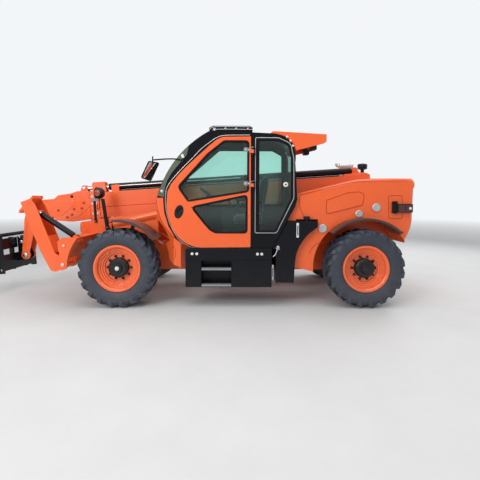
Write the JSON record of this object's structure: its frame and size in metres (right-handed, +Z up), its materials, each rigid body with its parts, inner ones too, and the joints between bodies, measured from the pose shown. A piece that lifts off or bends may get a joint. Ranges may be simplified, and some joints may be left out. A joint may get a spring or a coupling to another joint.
{
  "type": "telehandler",
  "caption": "Telescopic handler with a long low boom, side cab, steered wheels, front stabiliser legs and a bare tool carrier.",
  "frame": {"origin": "on the ground under the middle of the whole machine", "axes": "+X to the front, +Y to the left, +Z up"},
  "size_m": [6.733, 2.35, 2.684],
  "materials": {
    "orange_paint": "gloss orange paint",
    "black_paint": "satin black paint",
    "tyre_rubber": "dull rubber",
    "glass": "green tinted glass",
    "chrome": "polished chrome",
    "black_plastic": "grained black plastic",
    "seat_cover": "black woven cloth",
    "dark_steel": "dark cast metal",
    "bright_steel": "dull bright steel"
  },
  "bodies": {
    "root": {"chassis_frame": "orange_paint", "front_box": "orange_paint", "tow_hitch": "black_paint", "front_axle": "black_paint", "rear_axle": "black_paint", "front_fairing": "orange_paint", "rear_body": "orange_paint", "rear_fenders": "black_plastic", "engine": "dark_steel", "engine_hood": "orange_paint", "exhaust": "bright_steel", "cab_shell": "black_paint", "cab_glass": "glass", "cab_roof": "black_paint", "seat_base": "dark_steel", "seat_cushion": "seat_cover", "seat_back": "seat_cover", "controls": "black_plastic", "roof_visor": "orange_paint", "step_box": "black_paint", "fuel_tank": "black_paint", "lamps": "black_plastic", "mirrors": "black_plastic"},
    "door": {"door": "orange_paint", "door_glass": "glass"},
    "boom_outer": {"boom_outer": "orange_paint", "extend_barrel": "black_paint"},
    "boom_mid": {"boom_mid": "orange_paint", "boom_collar": "orange_paint", "extend_rod": "chrome"},
    "boom_inner": {"boom_inner": "orange_paint"},
    "carrier": {"carrier": "black_paint"},
    "lift_barrel": {"lift_barrel": "black_paint"},
    "lift_rod": {"lift_rod": "chrome"},
    "tilt_barrel": {"tilt_barrel": "black_paint"},
    "tilt_rod": {"tilt_rod": "chrome"},
    "knuckle_front_left": {"knuckle_front_left": "black_paint", "front_fender_left": "black_plastic"},
    "wheel_front_left": {"tyre_front_left": "tyre_rubber", "rim_front_left": "orange_paint", "hub_front_left": "black_paint"},
    "knuckle_front_right": {"knuckle_front_right": "black_paint", "front_fender_right": "black_plastic"},
    "wheel_front_right": {"tyre_front_right": "tyre_rubber", "rim_front_right": "orange_paint", "hub_front_right": "black_paint"},
    "knuckle_rear_left": {"knuckle_rear_left": "black_paint"},
    "wheel_rear_left": {"tyre_rear_left": "tyre_rubber", "rim_rear_left": "orange_paint", "hub_rear_left": "black_paint"},
    "knuckle_rear_right": {"knuckle_rear_right": "black_paint"},
    "wheel_rear_right": {"tyre_rear_right": "tyre_rubber", "rim_rear_right": "orange_paint", "hub_rear_right": "black_paint"},
    "leg_left": {"leg_left": "orange_paint"},
    "leg_barrel_left": {"leg_barrel_left": "black_paint"},
    "leg_rod_left": {"leg_rod_left": "chrome"},
    "leg_right": {"leg_right": "orange_paint"},
    "leg_barrel_right": {"leg_barrel_right": "black_paint"},
    "leg_rod_right": {"leg_rod_right": "chrome"}
  },
  "joints": [
    {"name": "boom_lift", "type": "hinge", "parent": "root", "child": "boom_outer", "pos_m": [-2.84651, 0, 1.78], "axis": [0, -1, 0], "range_deg": [0, 65]},
    {"name": "boom_extend", "type": "slide", "parent": "boom_outer", "child": "boom_mid", "axis": [0.9976, 0, -0.0698], "range_m": [0, 3.2]},
    {"name": "boom_extend_inner", "type": "slide", "parent": "boom_mid", "child": "boom_inner", "axis": [0.9976, 0, -0.0698], "range_m": [0, 3.2]},
    {"name": "carrier_tilt", "type": "hinge", "parent": "boom_inner", "child": "carrier", "pos_m": [3.04596, 0, 0.6061], "axis": [0, 1, 0], "range_deg": [-15, 90]},
    {"name": "lift_barrel_swing", "type": "hinge", "parent": "root", "child": "lift_barrel", "pos_m": [-2.69651, 0, 1], "axis": [0, -1, 0], "range_deg": [0, 51.15]},
    {"name": "lift_rod_slide", "type": "slide", "parent": "lift_barrel", "child": "lift_rod", "axis": [0.9582, 0, 0.286], "range_m": [0, 0.73479]},
    {"name": "tilt_barrel_swing", "type": "hinge", "parent": "boom_inner", "child": "tilt_barrel", "pos_m": [2.76259, 0, 1.42787], "axis": [0, 1, 0], "range_deg": [-0.67, 3.95]},
    {"name": "tilt_rod_slide", "type": "slide", "parent": "tilt_barrel", "child": "tilt_rod", "axis": [0.5439, 0, -0.8391], "range_m": [-0.05817, 0.34849]},
    {"name": "door_swing", "type": "hinge", "parent": "root", "child": "door", "pos_m": [-0.89651, 1.115, 2.05], "axis": [0, 0, 1], "range_deg": [0, 95]},
    {"name": "steer_front_left", "type": "hinge", "parent": "root", "child": "knuckle_front_left", "pos_m": [1.07349, 0.8, 0.58], "axis": [0, 0, 1], "range_deg": [-30, 30]},
    {"name": "spin_front_left", "type": "hinge", "parent": "knuckle_front_left", "child": "wheel_front_left", "pos_m": [1.07349, 0.97, 0.58], "axis": [0, 1, 0], "continuous": true},
    {"name": "steer_front_right", "type": "hinge", "parent": "root", "child": "knuckle_front_right", "pos_m": [1.07349, -0.8, 0.58], "axis": [0, 0, 1], "range_deg": [-30, 30]},
    {"name": "spin_front_right", "type": "hinge", "parent": "knuckle_front_right", "child": "wheel_front_right", "pos_m": [1.07349, -0.97, 0.58], "axis": [0, 1, 0], "continuous": true},
    {"name": "steer_rear_left", "type": "hinge", "parent": "root", "child": "knuckle_rear_left", "pos_m": [-2.56651, 0.8, 0.58], "axis": [0, 0, 1], "range_deg": [-30, 30]},
    {"name": "spin_rear_left", "type": "hinge", "parent": "knuckle_rear_left", "child": "wheel_rear_left", "pos_m": [-2.56651, 0.97, 0.58], "axis": [0, 1, 0], "continuous": true},
    {"name": "steer_rear_right", "type": "hinge", "parent": "root", "child": "knuckle_rear_right", "pos_m": [-2.56651, -0.8, 0.58], "axis": [0, 0, 1], "range_deg": [-30, 30]},
    {"name": "spin_rear_right", "type": "hinge", "parent": "knuckle_rear_right", "child": "wheel_rear_right", "pos_m": [-2.56651, -0.97, 0.58], "axis": [0, 1, 0], "continuous": true},
    {"name": "leg_swing_left", "type": "hinge", "parent": "root", "child": "leg_left", "pos_m": [1.84349, 0.9975, 0.64], "axis": [0, 1, 0], "range_deg": [0, 95]},
    {"name": "leg_barrel_swing_left", "type": "hinge", "parent": "root", "child": "leg_barrel_left", "pos_m": [1.71349, 0.9975, 1.02], "axis": [0, 1, 0], "range_deg": [0, 79.77]},
    {"name": "leg_rod_slide_left", "type": "slide", "parent": "leg_barrel_left", "child": "leg_rod_left", "axis": [0.8321, 0, 0.5547], "range_m": [0, 0.54128]},
    {"name": "leg_swing_right", "type": "hinge", "parent": "root", "child": "leg_right", "pos_m": [1.84349, -0.9975, 0.64], "axis": [0, 1, 0], "range_deg": [0, 95]},
    {"name": "leg_barrel_swing_right", "type": "hinge", "parent": "root", "child": "leg_barrel_right", "pos_m": [1.71349, -0.9975, 1.02], "axis": [0, 1, 0], "range_deg": [0, 79.77]},
    {"name": "leg_rod_slide_right", "type": "slide", "parent": "leg_barrel_right", "child": "leg_rod_right", "axis": [0.8321, 0, 0.5547], "range_m": [0, 0.54128]}
  ],
  "couplings": [
    {"joint": "boom_extend_inner", "follows": "boom_extend", "ratio": 1},
    {"joint": "lift_barrel_swing", "follows": "boom_lift", "ratio": 0.78675},
    {"joint": "lift_rod_slide", "follows": "boom_lift", "m_per_rad": 0.64761},
    {"joint": "tilt_barrel_swing", "follows": "carrier_tilt", "ratio": 0.043761},
    {"joint": "tilt_rod_slide", "follows": "carrier_tilt", "m_per_rad": 0.22179},
    {"joint": "steer_front_right", "follows": "steer_front_left", "ratio": 1},
    {"joint": "steer_rear_right", "follows": "steer_rear_left", "ratio": 1},
    {"joint": "leg_barrel_swing_left", "follows": "leg_swing_left", "ratio": 0.83956},
    {"joint": "leg_rod_slide_left", "follows": "leg_swing_left", "m_per_rad": 0.32639},
    {"joint": "leg_barrel_swing_right", "follows": "leg_swing_right", "ratio": 0.83956},
    {"joint": "leg_rod_slide_right", "follows": "leg_swing_right", "m_per_rad": 0.32639}
  ]
}
